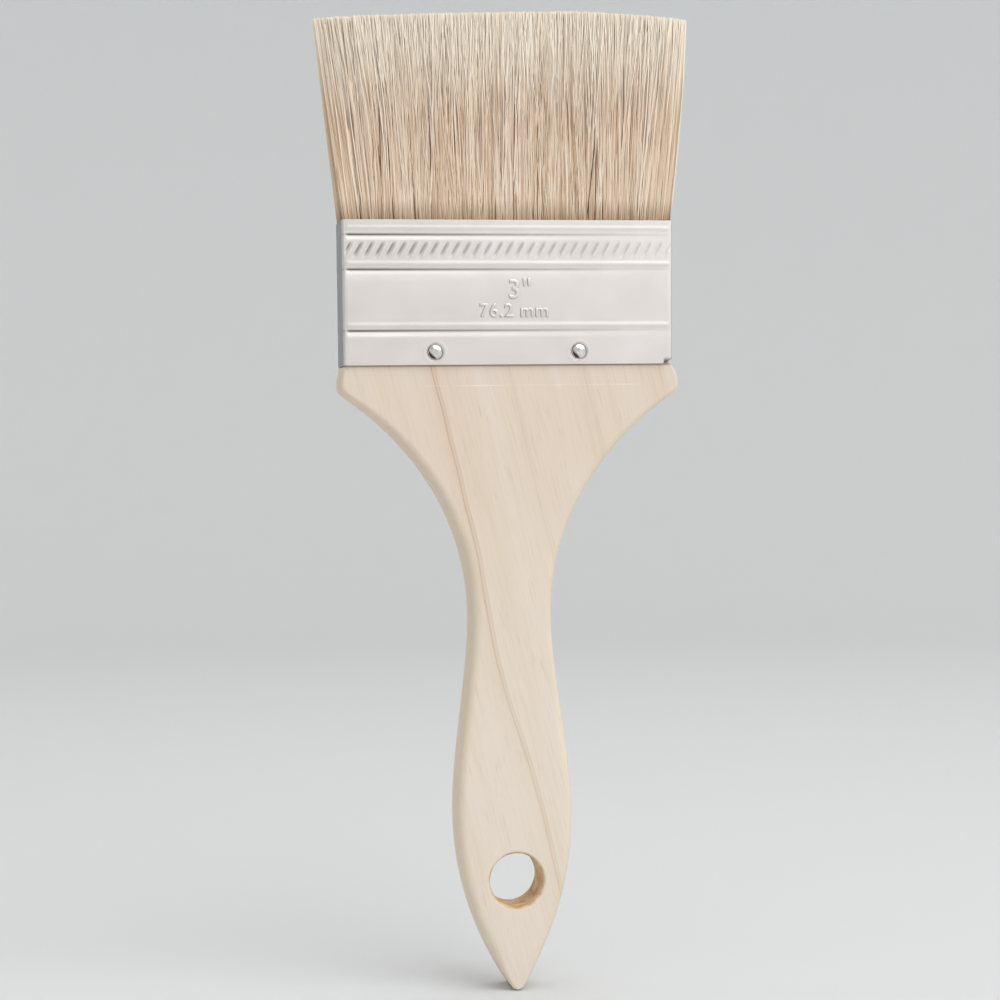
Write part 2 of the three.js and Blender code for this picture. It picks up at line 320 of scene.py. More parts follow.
# Bare sanded poplar: pale and matt, with fine fibres, faint flecks and thin brown growth lines
# that run at a slant to the handle because the board was cut across the ring.
grain_angle = math.radians(13.2)
place = add(tree, "ShaderNodeTexCoord").outputs["Object"]
along = add(tree, "ShaderNodeMapping", {"Vector": place, "Rotation": (0, grain_angle, 0)}).outputs[0]
wander = add(tree, "ShaderNodeTexNoise", {"Vector": along, "Scale": 28.0, "Detail": 2.0}).outputs[0]
across = add(tree, "ShaderNodeSeparateXYZ", {0: along}).outputs["X"]
ring_spacing = 17.15 * mm
ring_offset = -2.71 * mm
main_ring = 9.4 * mm
height = add(tree, "ShaderNodeSeparateXYZ", {0: place}).outputs["Z"]
# The lines bow 2 mm to the left about the neck, where the trunk had bent.
from_bow = add(tree, "ShaderNodeMath", {0: height, 1: 50 * mm}, operation="SUBTRACT").outputs[0]
from_bow = add(tree, "ShaderNodeMath", {0: from_bow}, operation="ABSOLUTE").outputs[0]
bow = add(tree, "ShaderNodeMapRange", {0: from_bow, 1: 0.0, 2: 30 * mm, 3: 2.0 * mm, 4: 0.0},
          interpolation_type="SMOOTHSTEP").outputs[0]
bowed = add(tree, "ShaderNodeMath", {0: across, 1: bow}, operation="ADD").outputs[0]
shifted = add(tree, "ShaderNodeMath", {0: wander, 1: 3.0 * mm, 2: bowed}, operation="MULTIPLY_ADD").outputs[0]
phase = add(tree, "ShaderNodeMath", {0: shifted, 1: ring_offset}, operation="ADD").outputs[0]
phase = add(tree, "ShaderNodeMath", {0: phase, 1: ring_spacing}, operation="DIVIDE").outputs[0]
phase = add(tree, "ShaderNodeMath", {0: phase}, operation="FRACT").outputs[0]


def set_stops(ramp_node, stops):
    """Gives a colour ramp its stops, as places and hex colours."""
    elements = ramp_node.color_ramp.elements
    while len(elements) < len(stops):
        elements.new(0.5)
    for element, (at, hex_colour) in zip(elements, stops):
        element.position = at
        element.color = linear(hex_colour)
    return ramp_node.outputs["Color"]


rings = add(tree, "ShaderNodeValToRGB", {0: phase})
ring_colour = set_stops(rings, [(0.0, "#ffffff"), (0.34, "#fdfbf9"), (0.462, "#faf5f0"),
                                (0.475, "#dbc9ba"), (0.488, "#f4ebe3"), (0.512, "#f6efe8"),
                                (0.522, "#ecdfd4"), (0.535, "#fefcfa")])
off_ring = add(tree, "ShaderNodeMath", {0: across, 1: main_ring}, operation="SUBTRACT").outputs[0]
off_ring = add(tree, "ShaderNodeMath", {0: off_ring}, operation="ABSOLUTE").outputs[0]
ring_strength = add(tree, "ShaderNodeMapRange",
                    {0: off_ring, 1: 4 * mm, 2: 12 * mm, 3: 1.0, 4: 0.22}).outputs[0]
tone_place = add(tree, "ShaderNodeMapping", {"Vector": along, "Scale": (90, 90, 14)}).outputs[0]
tone = add(tree, "ShaderNodeTexNoise", {"Vector": tone_place, "Scale": 1.0, "Detail": 3.0}).outputs[0]
tone_ramp = add(tree, "ShaderNodeValToRGB", {0: tone})
tone_colour = set_stops(tone_ramp, [(0.3, "#e0cdbb"), (0.5, "#e3d3c4"), (0.72, "#e7dacd")])
low_part = add(tree, "ShaderNodeMapRange", {0: height, 1: 0.02, 2: 0.12, 3: 1.0, 4: 0.0}).outputs[0]
low_fade = add(tree, "ShaderNodeMapRange", {0: low_part, 3: 1.0, 4: 0.6}).outputs[0]
ring_strength = add(tree, "ShaderNodeMath", {0: ring_strength, 1: low_fade}, operation="MULTIPLY").outputs[0]
# The grip is a little paler than the flare.
pale_share = add(tree, "ShaderNodeMath", {0: low_part, 1: 0.65}, operation="MULTIPLY").outputs[0]
base = add(tree, "ShaderNodeMix", {0: pale_share, 6: tone_colour, 7: linear("#e9decf")},
           data_type="RGBA").outputs[2]
ringed = add(tree, "ShaderNodeMix", {0: ring_strength, 6: base, 7: ring_colour}, data_type="RGBA",
             blend_type="MULTIPLY").outputs[2]
# Fibres about 0.35 mm apart and 12 mm long.
fibre_scale = (1 / 0.35 / mm, 1 / 0.35 / mm, 1 / 12 / mm)
fibre_place = add(tree, "ShaderNodeMapping", {"Vector": along, "Scale": fibre_scale}).outputs[0]
fibre = add(tree, "ShaderNodeTexNoise", {"Vector": fibre_place, "Scale": 1.0, "Detail": 3.0}).outputs[0]
fibre_ramp = add(tree, "ShaderNodeValToRGB", {0: fibre})
fibre_colour = set_stops(fibre_ramp, [(0.3, "#efe6dc"), (0.55, "#ffffff"), (0.75, "#fffdf8")])
fibred = add(tree, "ShaderNodeMix", {0: 0.24, 6: ringed, 7: fibre_colour}, data_type="RGBA",
             blend_type="MULTIPLY").outputs[2]
# The rounded edges cut across the grain, and are yellower than the faces.
side_grain = add(tree, "ShaderNodeAttribute", attribute_name="round_edge").outputs["Fac"]
side_share = add(tree, "ShaderNodeMath", {0: side_grain, 1: 0.32}, operation="MULTIPLY").outputs[0]
edged = add(tree, "ShaderNodeMix", {0: side_share, 6: fibred, 7: linear("#ecd6b0")},
            data_type="RGBA").outputs[2]
# Open pores and flecks, up to 6 mm long and 0.6 mm wide, and far apart.
fleck_place = add(tree, "ShaderNodeMapping", {"Vector": along, "Scale": (1600, 1600, 160)}).outputs[0]
fleck = add(tree, "ShaderNodeTexNoise", {"Vector": fleck_place, "Scale": 1.0, "Detail": 1.0}).outputs[0]
fleck_ramp = add(tree, "ShaderNodeValToRGB", {0: fleck})
fleck_colour = set_stops(fleck_ramp, [(0.66, "#ffffff"), (0.74, "#e3d1bd")])
flecked = add(tree, "ShaderNodeMix", {0: 0.2, 6: edged, 7: fleck_colour}, data_type="RGBA",
              blend_type="MULTIPLY").outputs[2]
# The bore's wall, scorched brown in patches; the hole's axis is the Y axis of the frame.
flat_place = add(tree, "ShaderNodeVectorMath", {0: place, 1: (1, 0, 1)}, operation="MULTIPLY").outputs[0]
reach = add(tree, "ShaderNodeVectorMath", {0: flat_place}, operation="LENGTH").outputs["Value"]
in_bore = add(tree, "ShaderNodeMapRange", {0: reach, 1: hole_radius + 0.6 * mm, 2: hole_radius + 0.25 * mm,
                                           3: 0.0, 4: 1.0}).outputs[0]
scorch = add(tree, "ShaderNodeTexNoise", {"Vector": place, "Scale": 330.0, "Detail": 3.0}).outputs[0]
scorch_ramp = add(tree, "ShaderNodeValToRGB", {0: scorch})
scorch_colour = set_stops(scorch_ramp, [(0.28, "#bb8d58"), (0.45, "#d6b487"), (0.62, "#e6d1b0")])
bored = add(tree, "ShaderNodeMix", {0: in_bore, 6: flecked, 7: scorch_colour}, data_type="RGBA",
            blend_type="MIX").outputs[2]
# A light scored line 4.7 mm below the ferrule marks where its edge had to come, and a painted shadow
#  lies as a dark line against the edge itself.
scored_at = collar - 4.7 * mm
from_score = add(tree, "ShaderNodeMath", {0: height, 1: scored_at}, operation="SUBTRACT").outputs[0]
from_score = add(tree, "ShaderNodeMath", {0: from_score}, operation="ABSOLUTE").outputs[0]
score_share = add(tree, "ShaderNodeMapRange",
                  {0: from_score, 1: 0.08 * mm, 2: 0.24 * mm, 3: 0.5, 4: 0.0}).outputs[0]
score_patchy = add(tree, "ShaderNodeMapRange", {0: tone, 1: 0.35, 2: 0.55}).outputs[0]
score_share = add(tree, "ShaderNodeMath", {0: score_share, 1: score_patchy}, operation="MULTIPLY").outputs[0]
sideways = add(tree, "ShaderNodeSeparateXYZ", {0: place}).outputs["X"]
from_score = add(tree, "ShaderNodeMath", {0: sideways, 1: 5.5 * mm}, operation="SUBTRACT").outputs[0]
from_score = add(tree, "ShaderNodeMath", {0: from_score}, operation="ABSOLUTE").outputs[0]
score_run = add(tree, "ShaderNodeMapRange",
                {0: from_score, 1: 22 * mm, 2: 27 * mm, 3: 1.0, 4: 0.0}).outputs[0]
score_share = add(tree, "ShaderNodeMath", {0: score_share, 1: score_run}, operation="MULTIPLY").outputs[0]
scored = add(tree, "ShaderNodeMix", {0: score_share, 6: bored, 7: linear("#f4ebdf")},
             data_type="RGBA").outputs[2]
# Painted shadow: a dark line just under the ferrule's edge.
edge_shadow_share = add(tree, "ShaderNodeMapRange", {0: height, 1: collar - 0.45 * mm, 2: collar - 0.15 * mm,
                                              3: 0.0, 4: 0.6}).outputs[0]
edge_shadowed = add(tree, "ShaderNodeMix", {0: edge_shadow_share, 6: scored, 7: linear("#7f6a5c")},
            data_type="RGBA").outputs[2]
tree.links.new(edge_shadowed, shader.inputs["Base Color"])
rough = add(tree, "ShaderNodeMapRange", {0: fibre, 1: 0.3, 2: 0.7, 3: 0.66, 4: 0.56}).outputs[0]
tree.links.new(rough, shader.inputs["Roughness"])
shader.inputs["IOR"].default_value = 1.5
raised = add(tree, "ShaderNodeBump", {"Height": fibre, "Strength": 0.25, "Distance": 0.08 * mm}).outputs[0]
tree.links.new(raised, shader.inputs["Normal"])


def face_outwards(piece, weld=0.0):
    """Turns every face of a closed piece outwards, after merging points closer than weld."""
    work = bmesh.new()
    work.from_mesh(piece.data)
    if weld:
        bmesh.ops.remove_doubles(work, verts=work.verts, dist=weld)
    bmesh.ops.recalc_face_normals(work, faces=work.faces)
    work.to_mesh(piece.data)
    work.free()


def set_share(piece, name, values):
    """Stores one number for each point of a piece, for its material to read."""
    piece.data.attributes.new(name, "FLOAT", "POINT").data.foreach_set("value", values)


handle = new_piece("handle_board", points, faces, wood)
set_share(handle, "round_edge", round_edge)
face_outwards(handle)
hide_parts("handle")
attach(handle, "handle")

# ---------------------------------------------------------------------------------------------
# Ferrule: one strip of tin-plated steel bent round the head, its end lapped on the right wall.
# Three grooves and a rope pattern are rolled in, and the metal dips round each nail.
half_width = ferrule_high.x
half_depth = ferrule_high.y
corner = 0.55 * mm
strip_height = ferrule_high.z - ferrule_low.z
beads = (  # height above the lower edge, reach below and above it, and depth inwards, in millimetres
    (31.2, 0.8, 0.7, -0.045), (29.5, 1.3, 0.45, 0.16), (23.0, 0.9, 0.9, -0.07),
    (21.6, 1.5, 0.45, 0.18), (9.0, 0.9, 0.9, -0.07), (7.7, 1.5, 0.45, 0.2))
rope_low, rope_high = 24.2, 28.0
rope_pitch = 2.47
rope_lean = math.tan(math.radians(30))
nail_boxes = {name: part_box(name) for name in nodes if name.startswith("nail_")}
nail_places = [((lo.x + hi.x) / 2, -1 if lo.y + hi.y < 0 else 1, (lo.z + hi.z) / 2)
               for lo, hi in nail_boxes.values()]


def hump(distance_from, below, above=None):
    """A smooth hump that is 1 in its middle and 0 past its reach on either side."""
    half = np.where(distance_from < 0, below, above or below)
    return np.where(abs(distance_from) < half, 0.5 + 0.5 * np.cos(np.pi * distance_from / half), 0.0)


# Places round the strip: straight runs and corners, with the way that each point faces.
loop = []
for x0, y0, way, length, step in ((-1, -1, (1, 0), half_width - corner, 0.25 * mm),
                                  (1, -1, (0, 1), half_depth - corner, 0.4 * mm),
                                  (1, 1, (-1, 0), half_width - corner, 0.25 * mm),
                                  (-1, 1, (0, -1), half_depth - corner, 0.4 * mm)):
    start = np.array([x0 * (half_width - corner), y0 * (half_depth - corner)])
    facing = np.array([way[1], -way[0]], float)
    for s in np.arange(0, 2 * length, step):
        loop.append((start + np.array(way) * s + facing * corner, facing))
    turn_at = start + np.array(way) * 2 * length
    for a in np.linspace(0, math.pi / 2, 6)[:-1]:
        normal = facing * math.cos(a) + np.array(way) * math.sin(a)
        loop.append((turn_at + normal * corner, normal))
flat = np.array([p for p, n in loop])
facing = np.array([n for p, n in loop])

# Rows of points up the strip, in millimetres, closer together where something is rolled in.
rows = np.concatenate([
    [0.0, 0.08, 0.25], np.arange(0.6, 6.5, 0.35), np.arange(6.6, 10.2, 0.15), np.arange(10.5, 20.4, 1.65),
    np.arange(20.7, 24.1, 0.15), np.arange(24.2, 28.2, 0.2), np.arange(28.3, 32.1, 0.15),
    [32.5, 32.8, 32.95, 33.0]])
column_x = flat[:, 0][None, :]
column_y = flat[:, 1][None, :]
row_h = rows[:, None]
on_face = (abs(facing[:, 1]) > 0.99).astype(float)[None, :]
# Rolled lines run out just short of the corners and come back faintly on the narrow walls.
line_stop = 0.3
wall_bite = 0.45
edge_gap = (half_width - abs(column_x)) / mm
fade = np.clip((edge_gap - line_stop) / 1.1, 0, 1)
fade = (on_face * fade * fade * (3 - 2 * fade)
        + (1 - on_face) * wall_bite * np.clip(abs(facing[:, 0]), 0, 1)[None, :])
# The rolls bit deepest at the left end, so lines, strokes and the painted shade in them all weaken to the
# right.
across_strip = column_x / half_width * np.sign(-facing[:, 1])[None, :]
bite = 0.52 - 0.46 * across_strip
depth = np.zeros((len(rows), len(flat)))
hollow_shade = np.zeros((len(rows), len(flat)))
for centre, below, above, deep in beads:
    if deep > 0:
        depth += hump(row_h - centre, below, above) * deep * fade * bite
        # Painted shade lies along each rolled groove.
        hollow_shade += hump(row_h - centre - 0.1, 0.42) * fade * np.clip(0.45 - 0.6 * across_strip, 0.04, 1)
    else:
        depth += hump(row_h - centre, below, above) * deep * fade
slant = column_x / mm * np.sign(-facing[:, 1])[None, :] - (row_h - rope_low) * rope_lean
stroke = (slant / rope_pitch) % 1.0 * rope_pitch - rope_pitch / 2
stroke_half = 0.5 - 0.14 * across_strip
rope_ends = np.clip((row_h - rope_low) / 1.4, 0, 1) * np.clip((rope_high - row_h) / 0.7, 0, 1)
rope_fade = rope_ends * on_face * np.clip((edge_gap - line_stop) / 0.8, 0, 1)
depth += hump(stroke, stroke_half) * 0.21 * rope_fade * (0.8 - 0.2 * across_strip)
depth -= hump(stroke - stroke_half - 0.12, 0.32) * 0.07 * rope_fade
# Painted shade lies in the rope strokes.
hollow_shade += hump(stroke + 0.1, 0.4) * rope_fade * np.clip(0.5 - 0.42 * across_strip, 0.1, 1)
# The metal dips round each nail and swells a little outside the dip.
for nail_x, nail_side, nail_z in nail_places:
    same_side = (facing[:, 1] * nail_side > 0.99).astype(float)[None, :]
    away = np.hypot((column_x - nail_x) / mm, row_h - (nail_z - collar) / mm)
    depth += same_side * (hump(away, 2.6) * 0.2 - hump(away - 2.3, 0.6) * 0.04)
    # Painted shade lies in a thin ring just outside each nail head.
    hollow_shade += same_side * hump(away - 1.85, 0.3) * 0.6
# Painted shadow sits under the snipped corner of the lap.
under_snip = (edge_gap < 2.0) * (row_h < 1.3) * (column_x > 0) * (column_y < 0)
hollow_shade += under_snip * np.clip((1.5 - row_h) / 0.8, 0, 1)
# A faint fold line runs down inside each front corner, with a little painted shade low down in the fold on
# the -X side.
depth += on_face * hump(edge_gap - 0.55, 0.3) * 0.05
hollow_shade += on_face * hump(edge_gap - 0.25, 0.22) * (column_x < 0) * np.clip((14 - row_h) / 12, 0, 1) * 0.55
# Thin tinplate is never quite flat: long shallow waves of a few hundredths of a millimetre.
depth += on_face * 0.035 * np.sin(column_x / mm * 0.21 + 1.0) * np.sin(row_h * 0.19 + column_x / mm * 0.05)
# The front end of the strip laps over the back end on the right wall, and stands proud of it.
lap_edge = 1.2 * mm
lap_step = 0.22
under_lap = np.clip((half_depth - corner - flat[:, 1]) / mm, 0, 1) * (flat[:, 1] > lap_edge)
depth += lap_step * (under_lap * (facing[:, 0] > 0.99))[None, :]
# The lap's lower corner is snipped off at a slant.
snip_width = 2.2
snip_height = 1.1
snip = np.clip((column_x / mm - (half_width / mm - snip_width)) / snip_width, 0, 1) * (column_y < 0)
lifted = np.maximum(row_h, snip_height * snip)

# The lapped side leans out a little towards the mouth, where the bristles push it.
side_lean = 0.5 * mm / strip_height * np.maximum(column_x, 0) / half_width
leaning = side_lean * row_h * mm
outer = [[(flat[i, 0] - facing[i, 0] * depth[r, i] * mm + leaning[r, i],
           flat[i, 1] - facing[i, 1] * depth[r, i] * mm,
           collar + lifted[r, i] * mm) for i in range(len(flat))] for r in range(len(rows))]
# Inside, the wall is drawn thicker past each lip, so that no rolled line breaks through it.
lip = 0.35 * mm
behind_lines = 0.85 * mm
inner = []
for h, inset in ((32.95, lip), (31.8, lip), (31.0, behind_lines),
                 (1.6, behind_lines), (0.9, lip), (0.05, lip)):
    inner.append([(flat[i, 0] - facing[i, 0] * inset + side_lean[0, i] * h * mm,
                   flat[i, 1] - facing[i, 1] * inset,
                   collar + max(h, lifted[0, i] + 0.05) * mm) for i in range(len(flat))])
points, faces = [], []
strip_rings = [keep(ring) for ring in outer + inner]
for a, b in zip(strip_rings, strip_rings[1:] + strip_rings[:1]):
    bridge(a, b)
# The painted shade in the lines and hollows, one number a point; the inner wall has none.
painted_shade = np.concatenate([np.clip(hollow_shade, 0, 1).ravel(), np.zeros(len(points) - hollow_shade.size)])

tinplate, tree, shader = new_material("rolled_tinplate")
# Tin-plated steel: bright satin metal, with fine rolling lines along the strip and soft smudges.
place = add(tree, "ShaderNodeTexCoord").outputs["Object"]
# Rolling lines about 0.12 mm apart, drawn twice as coarse as real ones so that they show.
line_place = add(tree, "ShaderNodeMapping", {"Vector": place, "Scale": (60, 60, 8000)}).outputs[0]
lines = add(tree, "ShaderNodeTexNoise", {"Vector": line_place, "Scale": 1.0, "Detail": 2.0}).outputs[0]
smudge = add(tree, "ShaderNodeTexNoise", {"Vector": place, "Scale": 110.0, "Detail": 4.0}).outputs[0]
polish = add(tree, "ShaderNodeMapRange", {0: smudge, 1: 0.3, 2: 0.7, 3: 0.4, 4: 0.46}).outputs[0]
tree.links.new(polish, shader.inputs["Roughness"])
tint = add(tree, "ShaderNodeValToRGB", {0: smudge})
tint_colour = set_stops(tint, [(0.25, "#dfd8d4"), (0.6, "#e2dcd8"), (0.8, "#e5dfdc")])
# Painted shade, dark grey, lies in the rolled lines and hollows, and the narrow walls are painted a darker
# grey as shade.
painted_shade_share = add(tree, "ShaderNodeAttribute", attribute_name="painted_shade").outputs["Fac"]
shade_tinted = add(tree, "ShaderNodeMix", {0: painted_shade_share, 6: tint_colour, 7: linear("#6f6965")},
             data_type="RGBA").outputs[2]
place_parts = add(tree, "ShaderNodeSeparateXYZ", {0: place}).outputs
far_out = add(tree, "ShaderNodeMath", {0: place_parts["X"]}, operation="ABSOLUTE").outputs[0]
on_wall = add(tree, "ShaderNodeMapRange", {0: far_out, 1: half_width - 0.6 * mm, 2: half_width - 0.4 * mm,
                                           3: 0.0, 4: 1.0}).outputs[0]
far_front = add(tree, "ShaderNodeMath", {0: place_parts["Y"]}, operation="ABSOLUTE").outputs[0]
off_face = add(tree, "ShaderNodeMapRange", {0: far_front, 1: half_depth - 1.6 * mm, 2: half_depth - 0.9 * mm,
                                            3: 1.0, 4: 0.0}).outputs[0]
on_wall = add(tree, "ShaderNodeMath", {0: on_wall, 1: off_face}, operation="MULTIPLY").outputs[0]
# The narrow walls are painted a darker grey as painted shade.
wall_shaded = add(tree, "ShaderNodeMix", {0: on_wall, 6: shade_tinted, 7: linear("#9b9b9e")},
             data_type="RGBA").outputs[2]
tree.links.new(wall_shaded, shader.inputs["Base Color"])
shader.inputs["Metallic"].default_value = 1.0
mottle = add(tree, "ShaderNodeMath", {0: smudge, 1: 0.6, 2: lines}, operation="MULTIPLY_ADD").outputs[0]
raised = add(tree, "ShaderNodeBump", {"Height": mottle, "Strength": 0.07, "Distance": 0.02 * mm}).outputs[0]
tree.links.new(raised, shader.inputs["Normal"])

ferrule = new_piece("ferrule_strip", points, faces, tinplate)
set_share(ferrule, "painted_shade", painted_shade)
face_outwards(ferrule)
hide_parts("ferrule")
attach(ferrule, "handle")

# ---------------------------------------------------------------------------------------------
# Size mark: the brush's width in plain figures, pressed from behind so that it stands a little
# proud of the front face. It is part of the same strip, and has the same finish.
mark_bottom = -half_depth - 0.05 * mm
mark_points, mark_faces = [], []
for words, letter, along_x, up_z in (('3"', 6.2, 2.4, 17.0), ("76.2 mm", 4.3, 1.1, 12.2)):
    mark_text = bpy.data.curves.new("size_mark", "FONT")
    mark_text.body = words
    mark_text.size = letter * mm
    mark_text.space_character = 1.08
    mark_text.align_x = "CENTER"
    mark_text.align_y = "CENTER"
    mark_text.resolution_u = 5
    mark_text.offset = -0.06 * mm
    mark_text.extrude = 0.08 * mm
    mark_text.bevel_depth = 0.17 * mm
    mark_text.bevel_resolution = 2
    mark_maker = bpy.data.objects.new("size_mark_maker", mark_text)
    bpy.context.collection.objects.link(mark_maker)
    evaluated = mark_maker.evaluated_get(bpy.context.evaluated_depsgraph_get())
    line_mesh = bpy.data.meshes.new_from_object(evaluated)
    bpy.data.objects.remove(mark_maker)
    first = len(mark_points)
    mark_points += [(v.co.x + along_x * mm, mark_bottom - v.co.z, v.co.y + collar + up_z * mm)
                    for v in line_mesh.vertices]
    mark_faces += [tuple(first + i for i in polygon.vertices) for polygon in line_mesh.polygons]
size_mark = new_piece("size_mark", mark_points, mark_faces, tinplate)
face_outwards(size_mark, weld=0.002 * mm)
# Painted shade lies round the foot of each figure.
foot_shade = [float(np.clip((v.co.y - mark_bottom) / (0.08 * mm) + 2.1, 0, 0.9)) for v in size_mark.data.vertices]
set_share(size_mark, "painted_shade", foot_shade)
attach(size_mark, "handle")

# ---------------------------------------------------------------------------------------------
# Nails: four short wire nails with low domed heads. A pair on each face holds the strip to the
# handle's head; they are driven until their heads sit in the dip that they make.
nail_wire, tree, shader = new_material("bright_drawn_wire")
# Bright drawn steel wire: smooth and shiny, with small knocks from the hammer.
place = add(tree, "ShaderNodeTexCoord").outputs["Object"]
knock = add(tree, "ShaderNodeTexNoise", {"Vector": place, "Scale": 750.0, "Detail": 2.0}).outputs[0]
knock_polish = add(tree, "ShaderNodeMapRange", {0: knock, 1: 0.3, 2: 0.7, 3: 0.14, 4: 0.26}).outputs[0]
tree.links.new(knock_polish, shader.inputs["Roughness"])
knock_tint = add(tree, "ShaderNodeValToRGB", {0: knock})
knock_colour = set_stops(knock_tint, [(0.3, "#cfcbc6"), (0.7, "#ebe8e5")])
# The rim is darker, and painted shade lies low on the left of each head.
rim = add(tree, "ShaderNodeAttribute", attribute_name="rim_dark_and_shade").outputs["Fac"]
rim_noise = add(tree, "ShaderNodeMath", {0: knock, 1: 0.7, 2: rim}, operation="MULTIPLY_ADD").outputs[0]
rim_share = add(tree, "ShaderNodeMapRange", {0: rim_noise, 1: 0.62, 2: 1.0}).outputs[0]
rim_darkened_and_shaded = add(tree, "ShaderNodeMix", {0: rim_share, 6: knock_colour, 7: linear("#453d38")},
                data_type="RGBA").outputs[2]
tree.links.new(rim_darkened_and_shaded, shader.inputs["Base Color"])
shader.inputs["Metallic"].default_value = 1.0
knock_bump = add(tree, "ShaderNodeBump", {"Height": knock, "Strength": 0.6, "Distance": 0.08 * mm}).outputs[0]
tree.links.new(knock_bump, shader.inputs["Normal"])

# Radius and height of the nail's outline from its point to its dome, in millimetres.
head_radius = 1.75
dome_height = 0.5
shank_radius = 0.75
sunk = 0.1
rim_starts = 0.85
nail_profile = [(0.0, -8.6), (0.35, -7.9), (shank_radius, -7.0), (shank_radius, -0.45),
                (1.25, -0.42), (1.6, -0.36), (1.74, -0.2), (head_radius, -0.05)]
nail_profile += [(head_radius * math.cos(a), dome_height * math.sin(a))
                 for a in np.linspace(0.1, math.pi / 2, 13)[:-1]]
nail_profile += [(0.0, dome_height)]
nail_angles = np.linspace(0, 2 * math.pi, 36, endpoint=False)
for name, (lo, hi) in nail_boxes.items():
    nail_x, nail_z = (lo.x + hi.x) / 2, (lo.z + hi.z) / 2
    nail_side = -1 if lo.y + hi.y < 0 else 1
    points, faces = [], []
    rings = []
    for r, h in nail_profile[1:-1]:
        level_y = nail_side * (half_depth + (h - sunk) * mm)
        rings.append(keep([(nail_x + r * mm * math.cos(a), level_y, nail_z + r * mm * math.sin(a))
                           for a in nail_angles]))
    for a, b in zip(rings, rings[1:]):
        bridge(a, b)
    for ring, (r, h) in ((rings[0], nail_profile[0]), (rings[-1], nail_profile[-1])):
        centre = keep([(nail_x, nail_side * (half_depth + (h - sunk) * mm), nail_z)])[0]
        faces += [(ring[i], ring[(i + 1) % len(ring)], centre) for i in range(len(ring))]
    nail = new_piece(name.replace("nail", "wire_nail"), points, faces, nail_wire)
    rim_dark_and_shade = []
    # Darker towards the rim, and painted shade on the lower left of the dome.
    for x, y, z in points:
        out = math.hypot(x - nail_x, z - nail_z) / (head_radius * mm)
        low_left = (nail_side * (x - nail_x) - (z - nail_z)) / (head_radius * mm) / math.sqrt(2)
        if out > rim_starts:
            rim_dark_and_shade.append((out - rim_starts) / (1 - rim_starts) * 0.9)
        else:
            rim_dark_and_shade.append(max(0.0, low_left * 1.9 - 0.45))
    set_share(nail, "rim_dark_and_shade", rim_dark_and_shade)
    face_outwards(nail)
    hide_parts(name)
    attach(nail, "handle")

# ---------------------------------------------------------------------------------------------
# Setting block: amber epoxy, poured round the bristle roots and cured. It fills the ferrule above
# the handle's head, holds the roots for good, and is out of sight. It keeps its CAD shape.
epoxy, tree, shader = new_material("cured_amber_epoxy")
# Cured epoxy: hard, glossy and amber, with clouds and small bubbles.
place = add(tree, "ShaderNodeTexCoord").outputs["Object"]
cloud = add(tree, "ShaderNodeTexNoise", {"Vector": place, "Scale": 220.0, "Detail": 3.0}).outputs[0]
cloud_ramp = add(tree, "ShaderNodeValToRGB", {0: cloud})
tree.links.new(set_stops(cloud_ramp, [(0.3, "#9c6f33"), (0.7, "#c79a58")]), shader.inputs["Base Color"])
bubbles = add(tree, "ShaderNodeTexVoronoi", {"Vector": place, "Scale": 900.0}).outputs["Distance"]
bubble_bump = add(tree, "ShaderNodeBump",
                  {"Height": bubbles, "Strength": 0.3, "Distance": 0.1 * mm}).outputs[0]
tree.links.new(bubble_bump, shader.inputs["Normal"])
shader.inputs["Roughness"].default_value = 0.22
nodes["setting_block"].material_slots[0].material = epoxy

# ---------------------------------------------------------------------------------------------
# Spacer plug: a sawn softwood strip, set in the epoxy between the two rows of bristles. It spreads
# them and leaves a hollow above it that holds the paint. It keeps its CAD shape.
sawn, tree, shader = new_material("sawn_softwood")
# Rough-sawn pine: straw-coloured, with grain along the strip and saw marks across it.
place = add(tree, "ShaderNodeTexCoord").outputs["Object"]
strip_place = add(tree, "ShaderNodeMapping", {"Vector": place, "Scale": (60, 900, 900)}).outputs[0]
strip_grain = add(tree, "ShaderNodeTexNoise", {"Vector": strip_place, "Scale": 1.0, "Detail": 4.0}).outputs[0]
strip_ramp = add(tree, "ShaderNodeValToRGB", {0: strip_grain})
tree.links.new(set_stops(strip_ramp, [(0.3, "#b28f5e"), (0.7, "#dcc596")]), shader.inputs["Base Color"])
strip_bump = add(tree, "ShaderNodeBump",
                 {"Height": strip_grain, "Strength": 0.5, "Distance": 0.1 * mm}).outputs[0]
tree.links.new(strip_bump, shader.inputs["Normal"])
shader.inputs["Roughness"].default_value = 0.78
nodes["spacer_plug"].material_slots[0].material = sawn

# ---------------------------------------------------------------------------------------------
# Bristle roots: the packed, glued stretch of the bristles inside the ferrule, seen only as a dark
# striped mass between the hairs at the ferrule's mouth. The CAD shapes stay.
packed, tree, shader = new_material("packed_bristle_roots")
# Hair packed side by side, 0.25 mm apart, darkened by glue.
place = add(tree, "ShaderNodeTexCoord").outputs["Object"]
root_place = add(tree, "ShaderNodeMapping", {"Vector": place, "Scale": (4000, 4000, 40)}).outputs[0]
root_hair = add(tree, "ShaderNodeTexNoise", {"Vector": root_place, "Scale": 1.0, "Detail": 2.0}).outputs[0]
root_ramp = add(tree, "ShaderNodeValToRGB", {0: root_hair})
tree.links.new(set_stops(root_ramp, [(0.35, "#4a3a29"), (0.65, "#a98d68")]), shader.inputs["Base Color"])
root_bump = add(tree, "ShaderNodeBump",
                {"Height": root_hair, "Strength": 0.6, "Distance": 0.1 * mm}).outputs[0]
tree.links.new(root_bump, shader.inputs["Normal"])
shader.inputs["Roughness"].default_value = 0.6
for name in ("bristle_roots_front", "bristle_roots_back"):
    nodes[name].material_slots[0].material = packed

# ---------------------------------------------------------------------------------------------
# Bristles: natural hog hair, flagged and pale at the tips, cut to a slightly domed line. Each row
# is a few thousand separate hairs that start inside the ferrule and fan out above it.
hog_hair, tree, shader = new_material("natural_hog_bristle")
